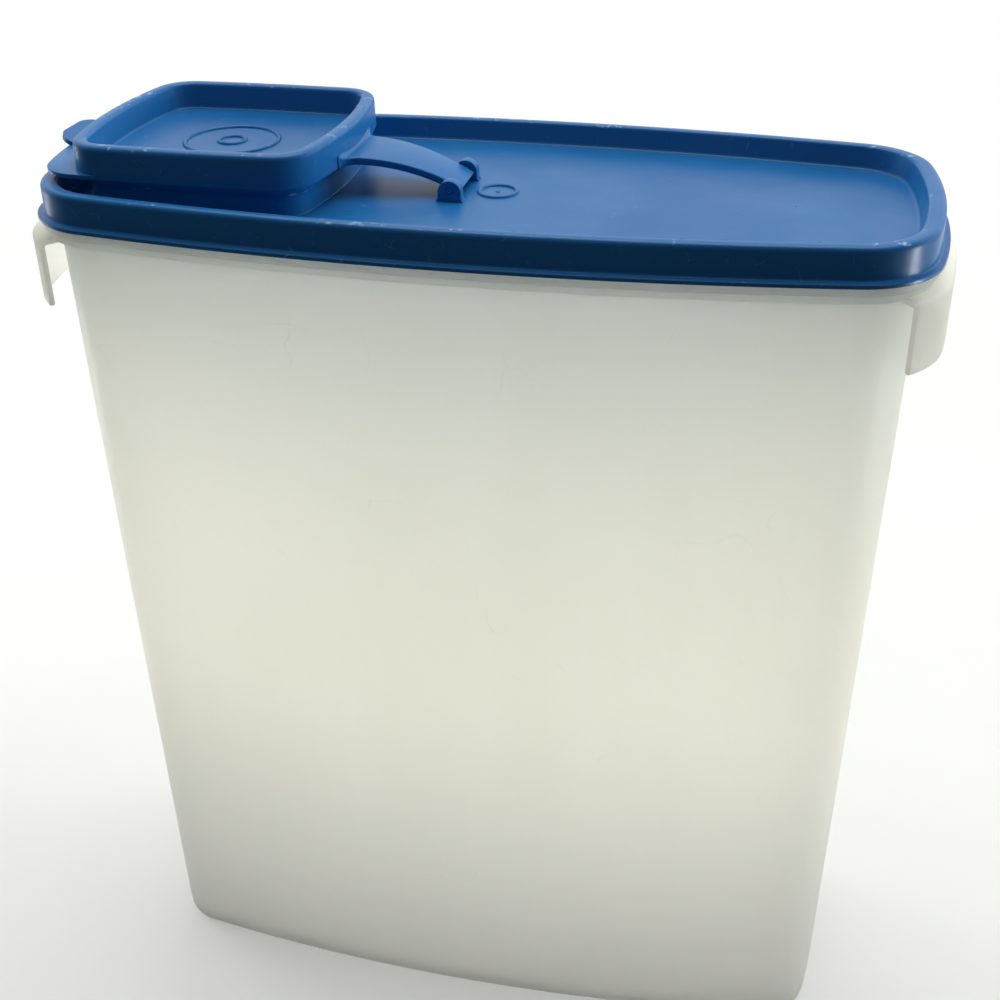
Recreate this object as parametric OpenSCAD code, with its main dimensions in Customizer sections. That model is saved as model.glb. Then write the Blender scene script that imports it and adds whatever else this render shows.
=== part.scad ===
// Tall dry-food keeper: a translucent tub, a push-on lid with a pour neck at
// one end, and a flip cap that swings on a strap hinged to the lid.
// The origin is at the centre of the base, +Z is up and the pour end is at -X.
// Every level and inset is in millimetres. An inset is measured inwards from
// the outline of the lid's flange, or on the cap and neck from the cap's skirt.

/* [Outline] */
// Length over the lid's flange
outline_l = 236; // [215:1:270]
// Width over the lid's flange
outline_w = 100; // [92:1:120]
// Radius of the gently bowed long sides
long_bow_r = 680; // [500:10:1200]
// Radius of the bowed short ends
end_bow_r = 143; // [120:1:200]
// Corner radius of the flange
corner_r = 22.5; // [20:0.5:28]

/* [Tub] */
// Height from the base to the top of the rim bead
tub_h = 251.7; // [150:0.1:300]
// Side wall thickness
wall = 2; // [1.4:0.1:2.4]
// Floor thickness
floor_t = 2.2; // [1.5:0.1:4]
// Inset of the wall's outer face just under the rim
wall_inset = 4.2; // [3.8:0.1:5]
// Extra inset of the wall at the base, which lets tubs nest and leave the mould
wall_draft = 2.5; // [0.5:0.1:5]
// Extra inset of the two end walls just under the rim
end_inset = 1.2; // [0:0.1:2]
// Extra draft of the two end walls at the base
end_draft = 2; // [0:0.1:4]
// Depth of the rim bead
bead_h = 4.5; // [3.5:0.1:6]
// Inset of the rim bead's outer face
bead_inset = 0.9; // [0.5:0.1:1.3]
// Height of the sealing lip above the rim bead
lip_h = 7.4; // [5:0.1:8]
// Thickness of the sealing lip
lip_t = 1.2; // [0.9:0.1:1.3]
// Height of the foot ring under the floor
foot_h = 1.2; // [0.6:0.1:2]
// Width of the foot ring
foot_w = 3; // [2:0.1:5]

/* [End grips] */
// How far a grip stands out past the flange
grip_out = 2.3; // [1.5:0.1:4]
// Height of a grip's hanging skirt
grip_h = 18; // [10:0.5:30]
// Wall thickness of a grip
grip_t = 1.4; // [1.2:0.1:1.6]
// Drop from the top of the rim bead to the top of a grip
grip_drop = 3.7; // [3:0.1:4]
// How far round the corner a grip runs, from the tub's long axis
grip_sweep = 49; // [35:1:60]

/* [Lid] */
// Height from the flange's underside to the top of the rim
lid_h = 9.3; // [9.2:0.1:11]
// Flange thickness
flange_t = 1.1; // [0.8:0.1:1.4]
// Inset of the lid's outer skirt
skirt_inset = 1.9; // [1.5:0.1:2.1]
// Thickness of the outer skirt
skirt_t = 1.2; // [1:0.1:1.3]
// Thickness of the recessed panel and of its wall
panel_t = 1.5; // [1.2:0.1:1.8]
// Depth of the recessed panel below the rim
panel_depth = 6.1; // [5.5:0.1:6.5]
// Width of the flat top of the rim
rim_flat = 1.9; // [1.6:0.1:2.4]
// How much shorter the recess is at each end than its width alone would make it
recess_end = 1.2; // [0:0.1:3]

/* [Pour neck and flip cap] */
// Length of the cap over its skirt
cap_l = 70.4; // [60:0.1:78]
// Width of the cap over its skirt
cap_w = 69; // [60:0.1:71]
// Distance from the lid's centre to the cap's centre
cap_offset = 70.5; // [68:0.5:74]
// Corner radius of the cap
cap_corner_r = 11; // [9.5:0.5:14]
// Radius of the cap's bowed ends
cap_end_r = 131; // [100:1:200]
// Radius of the cap's bowed sides
cap_side_r = 500; // [300:10:900]
// Height of the cap from the skirt's lower edge to the rim
cap_h = 8.6; // [8:0.1:10]
// Gap between the lid's rim and the cap's skirt
cap_gap = 2.1; // [1.6:0.1:3]
// Thickness of the cap's skirt
cap_skirt_t = 1.1; // [0.9:0.1:1.2]
// Thickness of the cap's tray
tray_t = 1.4; // [1.1:0.1:1.6]
// Depth of the cap's tray below its rim
tray_depth = 6.9; // [6:0.1:7]
// Inset of the neck's wall from the cap's skirt
neck_inset = 3.4; // [3:0.1:4.6]
// Thickness of the neck's wall and lip
neck_t = 1.15; // [0.9:0.05:1.2]
// Height by which the neck's lip stands inside the cap
neck_engage = 3.2; // [2:0.1:3.4]

/* [Hinge] */
// Distance from the hinge pin to the cap's skirt
strap_reach = 27.7; // [25:0.1:31]
// Height of the hinge pin above the panel
pin_rise = 2.9; // [2.8:0.1:3.6]
// Thickness of the strap
strap_t = 2; // [1.6:0.1:2.2]
// Width of the strap where it leaves the cap
strap_root_w = 20.4; // [18:0.2:26]
// Radius of the fillets in plan where the strap meets the cap's skirt
strap_flare = 3.6; // [2:0.2:5]
// Width of the strap between the ears
strap_end_w = 14.4; // [12:0.2:16]
// Length of the strap past the hinge pin
strap_tail = 2.3; // [2:0.1:2.4]
// Radius of the two hinge pegs
peg_r = 1; // [0.8:0.05:1.2]
// Thickness of a hinge ear
ear_t = 3; // [2:0.1:4]
// Width of a hinge ear
ear_w = 6.2; // [5.8:0.1:8]

/* [Lift tab] */
// How far the lift tab stands out from the cap
tab_out = 8.2; // [6:0.1:10]
// Thickness of the lift tab
tab_t = 1.2; // [1:0.1:1.6]
// Width of the tongue in the middle of the tab
tongue_w = 20.5; // [18:0.5:30]
// Length of the tongue past the tab's edge
tongue_out = 4.2; // [2:0.1:4.6]
// Upward slope of the tongue
tongue_tilt = 16; // [5:1:20]

/* [Fits] */
// Gap between a sliding or lifting face and its seat
gap = 0.3; // [0.2:0.05:0.4]
// Radial clearance of the hinge pegs in the ears
peg_play = 0.05; // [0.02:0.01:0.1]

/* [Marks] */
// Radius of the small ring on the lid's panel
lid_ring_r = 5; // [3:0.5:7]
// Distance from the lid's centre to the small ring
lid_ring_x = 3; // [2:0.5:6]
// Radius of the larger ring in the cap's tray
cap_ring_r = 12.6; // [8:0.2:18]
// Radius of the smaller ring in the cap's tray
cap_hub_r = 3.6; // [2:0.2:5]
// Radius of the rounded bead that draws each ring
ring_bead = 0.5; // [0.3:0.05:0.7]

/* [Hidden] */
$fn = 48;

// Flat steps in a bowed long side, a bowed end and a corner
side_steps = 8;
end_steps = 5;
corner_steps = 10;

// Outlines, each as [length, width, side radius, end radius, corner radius, centre x]
body_shape = [outline_l, outline_w, long_bow_r, end_bow_r, corner_r, 0];
cap_shape = [cap_l, cap_w, cap_side_r, cap_end_r, cap_corner_r, -cap_offset];

// Levels
flange_z = tub_h + gap;
rim_z = flange_z + lid_h;
panel_z = rim_z - panel_depth;
panel_low = panel_z - panel_t;
cap_low = rim_z + cap_gap;
cap_top = cap_low + cap_h;
tray_z = cap_top - tray_depth;
tray_low = tray_z - tray_t;
lip_top = tub_h + lip_h;
grip_top = tub_h - grip_drop;
pin_z = panel_z + pin_rise;

// Rim channel of the lid: lip of the tub in the middle, skirt outside, panel wall inside
skirt_in = skirt_inset + skirt_t;
lip_out = skirt_in + gap;
lip_in = lip_out + lip_t;
rim_in = skirt_inset + rim_flat + 1.4;

// Hinge places along X
cap_right = cap_l / 2 - cap_offset;
pin_x = cap_right + strap_reach;
peg_tip = strap_end_w / 2 + gap + ear_t;

// The point where two circles round p and q, of radii u and v, cross on the right of p to q
function meet(p, q, u, v) =
    let (d = norm(q - p),
         t = (u * u - v * v + d * d) / (2 * d),
         h = sqrt(u * u - t * t),
         e = (q - p) / d)
    p + t * e + h * [e[1], -e[0]];

// The eight arcs of an outline, each as [centre, radius, first angle, last angle, steps]
function arcs(s) =
    let (side = [0, s[1] / 2 - s[2]],
         end = [s[0] / 2 - s[3], 0],
         c = meet(side, end, s[2] - s[4], s[3] - s[4]),
         up = atan2(c[1] - side[1], c[0]),
         out = atan2(c[1], c[0] - end[0]))
    [[end, s[3], -out, out, end_steps],
     [c, s[4], out, up, corner_steps],
     [side, s[2], up, 180 - up, side_steps],
     [[-c[0], c[1]], s[4], 180 - up, 180 - out, corner_steps],
     [-end, s[3], 180 - out, 180 + out, end_steps],
     [-c, s[4], 180 + out, 180 + up, corner_steps],
     [-side, s[2], 180 + up, 360 - up, side_steps],
     [[c[0], -c[1]], s[4], 360 - up, 360 - out, corner_steps]];

function arc_points(a, inset, last = 0) =
    [for (i = [0 : a[4] - 1 + last])
        let (t = a[2] + (a[3] - a[2]) * i / a[4])
        a[0] + (a[1] - inset) * [cos(t), sin(t)]];

// An outline with each of its short ends moved in by a distance
function shorter(s, by) = [s[0] - 2 * by, s[1], s[2], s[3], s[4], s[5]];

// One closed ring of an outline, anticlockwise from the +X end
function ring(s, inset) =
    [for (a = arcs(s)) each [for (p = arc_points(a, inset)) p + [s[5], 0]]];

// The stretch of a ring round the +X end, out to the sweep angle in the corners
function end_stretch(s, inset, sweep) =
    let (a = arcs(s),
         low = [a[7][0], a[7][1], 360 - sweep, a[7][3], corner_steps],
         high = [a[1][0], a[1][1], a[1][2], sweep, corner_steps])
    concat(arc_points(low, inset), arc_points(a[0], inset), arc_points(high, inset, 1));

// A solid whose skin follows a profile of [inset, z, how much shorter each end is]
// round an outline. The profile starts at a flat cap that faces down and ends at one
// that faces up.
module skin(s, profile) {
    rings = [for (p = profile)
        [for (q = ring(len(p) > 2 ? shorter(s, p[2]) : s, p[0])) [q[0], q[1], p[1]]]];
    n = len(rings[0]);
    m = len(rings);
    sides = [for (j = [0 : m - 2]) for (i = [0 : n - 1])
        let (k = (i + 1) % n)
        [j * n + i, j * n + n + i, j * n + n + k, j * n + k]];
    bottom = [for (i = [0 : n - 1]) i];
    top = [for (i = [n - 1 : -1 : 0]) (m - 1) * n + i];
    polyhedron([for (r = rings) each r], concat([bottom], sides, [top]), convexity = 6);
}

// A convex profile of [inset, z], swept round one end of the outline
module end_band(s, profile, sweep) {
    slices = [for (p = profile) [for (q = end_stretch(s, p[0], sweep)) [q[0], q[1], p[1]]]];
    n = len(slices[0]);
    m = len(slices);
    sides = [for (j = [0 : m - 1]) for (i = [0 : n - 2])
        let (k = (j + 1) % m)
        [j * n + i, k * n + i, k * n + i + 1, j * n + i + 1]];
    start = [for (j = [m - 1 : -1 : 0]) j * n];
    finish = [for (j = [0 : m - 1]) j * n + n - 1];
    polyhedron([for (r = slices) each r], concat([start], sides, [finish]), convexity = 4);
}

// A raised ring on a flat face
module ring_mark(r, x, z) {
    translate([x, 0, z])
        rotate_extrude()
            translate([r, 0])
                circle(ring_bead, $fn = 16);
}

// ---- Tub ----

module tub_shell() {
    base_inset = wall_inset + wall_draft;
    inner_inset = wall_inset + wall;
    inner_base = base_inset + wall;
    foot_in = base_inset + 2.6 + foot_w;
    wall_top = tub_h - bead_h;
    groove_z = tub_h - bead_h / 2;
    end_base = end_inset + end_draft;
    skin(body_shape, [
        // underside of the floor and the foot ring
        [foot_in + 1, foot_h, end_base],
        [foot_in, 0, end_base],
        [base_inset + 2.4, 0, end_base],
        [base_inset + 0.9, 0.9, end_base],
        [base_inset + 0.2, 2.6, end_base],
        // side wall
        [base_inset, 5, end_base],
        [wall_inset, wall_top, end_inset],
        // rim bead in two steps with a groove between
        [bead_inset + 1.1, wall_top + 0.4],
        [bead_inset + 1, groove_z - 0.2],
        [bead_inset + 1.5, groove_z],
        [bead_inset, groove_z + 0.5],
        [bead_inset, tub_h],
        // sealing lip
        [lip_out, tub_h],
        [lip_out, lip_top - 0.5],
        [lip_out + 0.2, lip_top],
        [lip_in - 0.6, lip_top],
        [lip_in - 0.4, lip_top - 0.5],
        [lip_in, tub_h - 0.5],
        // inside
        [inner_inset, wall_top - 1, end_inset],
        [inner_base, foot_h + floor_t + 4, end_base],
        [inner_base + 1.1, foot_h + floor_t + 1, end_base],
        [inner_base + 3.6, foot_h + floor_t, end_base]
    ]);
}

module end_grip() {
    out = -grip_out;
    end_band(body_shape, [
        [out + grip_t, grip_top - grip_h],
        [out + 0.3, grip_top - grip_h],
        [out, grip_top - grip_h + 0.5],
        [out, grip_top - 0.6],
        [out + 0.6, grip_top],
        [out + grip_t, grip_top]
    ], grip_sweep);
    seat = wall_inset + end_inset + wall / 2;
    end_band(body_shape, [
        [seat, grip_top - grip_t],
        [out + grip_t / 2, grip_top - grip_t],
        [out + grip_t / 2, grip_top],
        [seat, grip_top]
    ], grip_sweep);
}

module tub() {
    color([0.86, 0.87, 0.83, 0.6])
    union() {
        tub_shell();
        end_grip();
        mirror([1, 0, 0])
            end_grip();
    }
}

// ---- Lid ----

module lid_shell() {
    wall_low = rim_in + 1.2;
    skin(body_shape, [
        // underside of the panel and the outer face of its wall
        [wall_low + 1.6, panel_low, recess_end],
        [wall_low + 0.3, panel_low, recess_end],
        [wall_low - 0.9, panel_low + 0.8, recess_end],
        [rim_in - 0.75, flange_z + 7.4, recess_end],
        // roof of the channel that grips the tub's lip
        [rim_in - 1, flange_z + 8, recess_end],
        [skirt_in + 0.4, flange_z + 8],
        [skirt_in, flange_z + 7.4],
        // flange
        [skirt_in - 0.1, flange_z],
        [0, flange_z],
        [0, flange_z + flange_t - 0.2],
        [0.2, flange_z + flange_t],
        [skirt_inset - 0.4, flange_z + flange_t + 0.1],
        [skirt_inset - 0.15, flange_z + flange_t + 0.6],
        // outer skirt and rounded rim
        [skirt_inset, rim_z - 1.6],
        [skirt_inset + 0.15, rim_z - 0.8],
        [skirt_inset + 0.6, rim_z - 0.2],
        [skirt_inset + 1.2, rim_z],
        [skirt_inset + 1.2 + rim_flat - 0.8, rim_z],
        [rim_in - 0.3, rim_z - 0.3, recess_end],
        [rim_in, rim_z - 0.9, recess_end],
        // recessed panel
        [wall_low - 0.2, panel_z + 0.8, recess_end],
        [wall_low + 0.3, panel_z + 0.2, recess_end],
        [wall_low + 1.2, panel_z, recess_end]
    ]);
}

// The neck's solid body, from inside the panel up to the lip
module neck_body() {
    lip_inset = cap_skirt_t + 0.5;
    top = cap_low + neck_engage;
    skin(cap_shape, [
        [neck_inset, panel_low + panel_t / 2],
        [neck_inset, cap_low - 2.8],
        [lip_inset, cap_low - 1],
        [lip_inset, top - 0.4],
        [lip_inset + 0.3, top]
    ]);
}

// The pour opening, flared under the lip
module pour_opening() {
    lip_inset = cap_skirt_t + 0.5 + neck_t;
    top = cap_low + neck_engage;
    skin(cap_shape, [
        [neck_inset + neck_t, panel_low - 1],
        [neck_inset + neck_t, cap_low - 2.2],
        [lip_inset, cap_low - 0.4],
        [lip_inset, top - 0.4],
        [lip_inset - 0.3, top + 1]
    ]);
}

// Two ears with round tops that carry the strap's pegs
module hinge_ears() {
    top_r = ear_w / 2;
    for (side = [-1, 1])
        translate([pin_x, side * (strap_end_w / 2 + gap + ear_t / 2), 0])
            rotate([90, 0, 0])
                linear_extrude(ear_t, center = true)
                    union() {
                        translate([0, pin_z - 0.5])
                            circle(top_r);
                        translate([-top_r, panel_z - panel_t / 2])
                            square([ear_w, pin_rise - 0.5 + panel_t / 2]);
                    }
}

module peg_bore() {
    translate([pin_x, 0, pin_z])
        rotate([90, 0, 0])
            cylinder(h = 2 * peg_tip + 4, r = peg_r + peg_play, center = true);
}

module lid() {
    color([0.20, 0.40, 0.64])
    difference() {
        union() {
            lid_shell();
            neck_body();
            hinge_ears();
            ring_mark(lid_ring_r, lid_ring_x, panel_z);
        }
        pour_opening();
        peg_bore();
    }
}

// ---- Flip cap ----

module cap_tray() {
    floor_edge = 4.9;
    skin(cap_shape, [
        // underside of the tray and the face that plugs the neck
        [floor_edge + 1.3, tray_low],
        [floor_edge - 0.3, tray_low],
        [floor_edge - 1.2, tray_low + 0.7],
        [2.9, cap_top - 1.8],
        // roof of the channel over the neck's lip
        [2.5, cap_top - 1.2],
        [cap_skirt_t + 0.4, cap_top - 1.2],
        [cap_skirt_t, cap_top - 1.6],
        // skirt and rounded rim
        [cap_skirt_t, cap_low],
        [0, cap_low],
        [0.2, cap_top - 1],
        [0.4, cap_top - 0.4],
        [0.9, cap_top],
        [3.1, cap_top],
        [3.6, cap_top - 0.3],
        [3.9, cap_top - 1],
        // tray
        [floor_edge - 0.2, tray_z + 0.8],
        [floor_edge + 0.2, tray_z + 0.2],
        [floor_edge + 1, tray_z]
    ]);
}

// The arched strap, drawn from the side: its middle line is an arc that passes
// through the hinge pin and is level where it leaves the skirt
module strap_side() {
    root_z = cap_low + strap_t / 2;
    level_x = cap_right + 2;
    run = pin_x - level_x;
    drop = root_z - pin_z;
    arch_r = (run * run + drop * drop) / (2 * drop);
    turn = atan2(run, arch_r - drop);
    difference() {
        translate([level_x, root_z - arch_r])
            difference() {
                circle(arch_r + strap_t / 2, $fn = 180);
                circle(arch_r - strap_t / 2, $fn = 180);
            }
        // left of the skirt
        translate([level_x - 3 * arch_r - 2.8, root_z - 2 * arch_r])
            square([3 * arch_r, 3 * arch_r]);
        // past the strap's tail
        translate([pin_x, pin_z])
            rotate(-turn)
                translate([strap_tail, -4 * arch_r])
                    square([4 * arch_r, 5 * arch_r]);
        // the lower half of the circle
        translate([level_x - arch_r, root_z - 3 * arch_r])
            square([3 * arch_r, 2 * arch_r]);
    }
    // fillet in the corner between the strap and the skirt
    fillet = 1.2;
    translate([cap_right - 0.8, root_z])
        difference() {
            square([fillet + 0.8, strap_t / 2 + fillet]);
            translate([fillet + 0.8, strap_t / 2 + fillet])
                circle(fillet);
        }
}

module strap_plan() {
    root = strap_root_w / 2;
    end = strap_end_w / 2;
    polygon([
        [cap_right - 3, -root],
        [cap_right, -root],
        [pin_x - ear_w / 2 - 0.6, -end],
        [pin_x + 6, -end],
        [pin_x + 6, end],
        [pin_x - ear_w / 2 - 0.6, end],
        [cap_right, root],
        [cap_right - 3, root]
    ]);
    difference() {
        translate([cap_right - 3, -root - strap_flare])
            square([strap_flare + 2, 2 * (root + strap_flare)]);
        for (side = [-1, 1])
            translate([cap_right + strap_flare - 1, side * (root + strap_flare)])
                circle(strap_flare);
    }
}

module strap() {
    intersection() {
        rotate([90, 0, 0])
            linear_extrude(strap_root_w + 2, center = true)
                strap_side();
        translate([0, 0, panel_z])
            linear_extrude(20)
                strap_plan();
    }
}

module pegs() {
    translate([pin_x, 0, pin_z])
        rotate([90, 0, 0])
            cylinder(h = 2 * peg_tip, r = peg_r, center = true);
}

// The tab runs round the cap's free end at the foot of the skirt, and its
// middle carries a tongue that slopes up to the thumb
module lift_tab() {
    half = [for (p = ring(cap_shape, 0)) if (p[0] < -cap_offset - cap_l / 4) p - [tab_out, 0]];
    inner = -cap_offset - cap_l / 4;
    translate([0, 0, cap_low])
        linear_extrude(tab_t)
            difference() {
                polygon(concat(half, [[inner, half[len(half) - 1][1]], [inner, half[0][1]]]));
                polygon(ring(cap_shape, cap_skirt_t / 2));
            }
    tip_r = 6.5;
    length = tab_out / 2 + tongue_out;
    translate([-cap_offset - cap_l / 2 - tab_out / 2, 0, cap_low])
        rotate([0, tongue_tilt, 0])
            linear_extrude(tab_t)
                union() {
                    for (side = [-1, 1])
                        translate([tip_r - length, side * (tongue_w / 2 - tip_r)])
                            circle(tip_r);
                    translate([-length, tip_r - tongue_w / 2])
                        square([length, tongue_w - 2 * tip_r]);
                    translate([tip_r - length, -tongue_w / 2])
                        square([length - tip_r, tongue_w]);
                }
}

module flip_cap() {
    color([0.18, 0.38, 0.62])
    union() {
        cap_tray();
        strap();
        pegs();
        lift_tab();
        ring_mark(cap_ring_r, -cap_offset, tray_z);
        ring_mark(cap_hub_r, -cap_offset, tray_z);
    }
}

tub();
lid();
flip_cap();
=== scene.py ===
# %% [markdown]
# # A dry-food keeper with a flip spout
#
# A tall, narrow tub of milky plastic stands on a pale floor. A blue lid presses onto
# its lip, and a blue flip cap closes the pour neck at one end. All three pieces are
# injection mouldings, so the lesson is about one shape rule (a profile that follows an
# outline) and about two plastics (one waxy and blue, one translucent and white).
#
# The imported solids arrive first, as a frame that is never moved. Everything made here
# stands in for one of them and keeps its size.

# %% Load the frame
import math

import bmesh
import bpy
from mathutils import Matrix, Vector


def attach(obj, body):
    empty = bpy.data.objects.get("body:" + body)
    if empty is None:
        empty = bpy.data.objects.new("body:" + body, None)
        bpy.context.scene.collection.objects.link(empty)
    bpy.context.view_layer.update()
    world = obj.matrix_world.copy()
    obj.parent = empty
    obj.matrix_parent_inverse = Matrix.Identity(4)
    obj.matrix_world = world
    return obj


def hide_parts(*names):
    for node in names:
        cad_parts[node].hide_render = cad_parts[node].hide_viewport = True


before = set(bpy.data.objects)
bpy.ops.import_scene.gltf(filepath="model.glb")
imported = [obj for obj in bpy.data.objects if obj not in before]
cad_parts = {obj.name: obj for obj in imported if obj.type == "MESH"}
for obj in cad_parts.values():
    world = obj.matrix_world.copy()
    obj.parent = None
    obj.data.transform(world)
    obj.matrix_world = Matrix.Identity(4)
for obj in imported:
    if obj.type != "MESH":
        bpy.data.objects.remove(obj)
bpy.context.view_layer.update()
MM = 0.001

# %% [markdown]
# ## The camera
#
# The photograph looks down on the keeper from the right of its front, through a lens
# of about 50 mm. The camera is placed by its heading, its tilt down and a small roll.
# A slight vertical shift frames the picture without tilting the camera further.

# %% Camera
CAMERA_AT = Vector((82.963, -347.413, 373.621)) * MM
HEADING, TILT_DOWN, ROLL = -0.228, 0.523, 0.015
FOCAL_MM, SENSOR_MM, SHIFT_UP = 50.27, 36.0, -0.022


def look_axes(heading, tilt, roll):
    """The camera's right, up and forward directions."""
    forward = Vector((math.sin(heading) * math.cos(tilt),
                      math.cos(heading) * math.cos(tilt), -math.sin(tilt)))
    level = Vector((math.cos(heading), -math.sin(heading), 0))
    down = forward.cross(level)
    right = level * math.cos(roll) + down * math.sin(roll)
    return right, right.cross(forward), forward


camera = bpy.data.objects.new("camera", bpy.data.cameras.new("camera"))
bpy.context.scene.collection.objects.link(camera)
right, up, forward = look_axes(HEADING, TILT_DOWN, ROLL)
placed = Matrix((right, up, -forward)).transposed().to_4x4()
placed.translation = CAMERA_AT
camera.matrix_world = placed
camera.data.lens, camera.data.sensor_width = FOCAL_MM, SENSOR_MM
camera.data.shift_y = SHIFT_UP
camera.data.clip_start = 0.01
bpy.context.scene.camera = camera
print("camera looks along", [round(c, 3) for c in forward])

# %% [markdown]
# ## The outline
#
# Seen from above, the lid is a rectangle whose four sides bow outwards a little. Four
# large arcs and four corner arcs draw it. An inset makes each arc's radius smaller and
# leaves its centre where it is, so every wall runs parallel to the flange. Some walls
# are also a little shorter at the two ends, and `ends` says by how much.

# %% Sizes of the outlines
LID_OUTLINE = {"length": 236, "width": 100, "side_r": 680, "end_r": 143, "corner_r": 22.5, "x": 0}
CAP_OUTLINE = {"length": 70.4, "width": 69, "side_r": 500, "end_r": 131, "corner_r": 11, "x": -70.5}
SIDE_STEPS, END_STEPS, CORNER_STEPS = 26, 16, 18


def eight_arcs(shape, ends=0.0):
    """Each arc of an outline as (centre x, centre y, radius, first angle, last angle, steps)."""
    length = shape["length"] - 2 * ends
    side_y = shape["width"] / 2 - shape["side_r"]
    end_x = length / 2 - shape["end_r"]
    u, v = shape["side_r"] - shape["corner_r"], shape["end_r"] - shape["corner_r"]
    d = math.hypot(end_x, side_y)
    along = (u * u - v * v + d * d) / (2 * d)
    off = math.sqrt(u * u - along * along)
    ex, ey = end_x / d, -side_y / d
    cx, cy = along * ex + off * ey, side_y + along * ey - off * ex
    rise = math.atan2(cy - side_y, cx)
    out = math.atan2(cy, cx - end_x)
    half = math.pi
    return [(end_x, 0, shape["end_r"], -out, out, END_STEPS),
            (cx, cy, shape["corner_r"], out, rise, CORNER_STEPS),
            (0, side_y, shape["side_r"], rise, half - rise, SIDE_STEPS),
            (-cx, cy, shape["corner_r"], half - rise, half - out, CORNER_STEPS),
            (-end_x, 0, shape["end_r"], half - out, half + out, END_STEPS),
            (-cx, -cy, shape["corner_r"], half + out, half + rise, CORNER_STEPS),
            (0, -side_y, shape["side_r"], half + rise, 2 * half - rise, SIDE_STEPS),
            (cx, -cy, shape["corner_r"], 2 * half - rise, 2 * half - out, CORNER_STEPS)]


def along_arc(arc, inset, first=None, last=None, closed=False):
    """Points along one arc, from its own first angle to its last or between two given ones."""
    cx, cy, r, a, b, steps = arc
    a, b = (a if first is None else first), (b if last is None else last)
    return [(cx + (r - inset) * math.cos(a + (b - a) * i / steps),
             cy + (r - inset) * math.sin(a + (b - a) * i / steps))
            for i in range(steps + (1 if closed else 0))]


def outline(shape, inset=0.0, ends=0.0):
    """The whole outline, anticlockwise from the right-hand end."""
    return [(x + shape["x"], y)
            for arc in eight_arcs(shape, ends) for x, y in along_arc(arc, inset)]


def round_one_end(shape, sweep):
    """The stretch of an outline round its right-hand end, out to an angle in both corners."""
    arcs = eight_arcs(shape)
    turn = 2 * math.pi
    return (along_arc(arcs[7], 0, first=turn - sweep) + along_arc(arcs[0], 0)
            + along_arc(arcs[1], 0, last=sweep, closed=True))


print("points round the lid:", len(outline(LID_OUTLINE)))

# %% [markdown]
# ## Profiles
#
# A profile is a list of corners, each an inset from the outline and a height. A mould
# has no knife-sharp corners, so every corner is turned into a small arc of its own
# radius. The light that runs along those arcs is what makes the plastic look moulded.

# %% Rounded profiles
MOST_OF_HALF = 0.48


def rounded(corners, closed=False, steps=5):
    """Corners (inset, height, radius, ends) with each corner turned into an arc.

    An arc takes up no more than nearly half of a short side, so two never overlap."""
    made, n = [], len(corners)
    for i, (x, z, r, ends) in enumerate(corners):
        if r <= 0 or (not closed and i in (0, n - 1)):
            made.append((x, z, ends))
            continue
        here = Vector((x, z))
        back = Vector(corners[i - 1][:2]) - here
        on = Vector(corners[(i + 1) % n][:2]) - here
        reach = min(r, MOST_OF_HALF * back.length, MOST_OF_HALF * on.length)
        start, finish = here + back.normalized() * reach, here + on.normalized() * reach
        for k in range(steps + 1):
            t = k / steps
            p = start * (1 - t) ** 2 + here * (2 * t * (1 - t)) + finish * t ** 2
            made.append((p.x, p.y, ends))
    return made


def with_ends(rows):
    """Rows (inset, height[, radius[, ends]]) filled up to four values."""
    return [tuple(row) + (0.0, 0.0)[len(row) - 2:] for row in rows]


one_corner = rounded(with_ends([(0, 0), (0, 9, 1), (9, 9)]))
print("one corner becomes", len(one_corner) - 2, "points")

# %% [markdown]
# ## The sweep, as a Geometry Nodes tree
#
# One tree makes every moulded wall here. It takes the path as the object's own edges
# and the profile as another object, and Curve to Mesh carries one along the other.
# The profile's `ends` attribute rides along on the points. Set Position then draws the
# two ends in by that much, which is how the tub's end walls get their extra draft.

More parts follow.
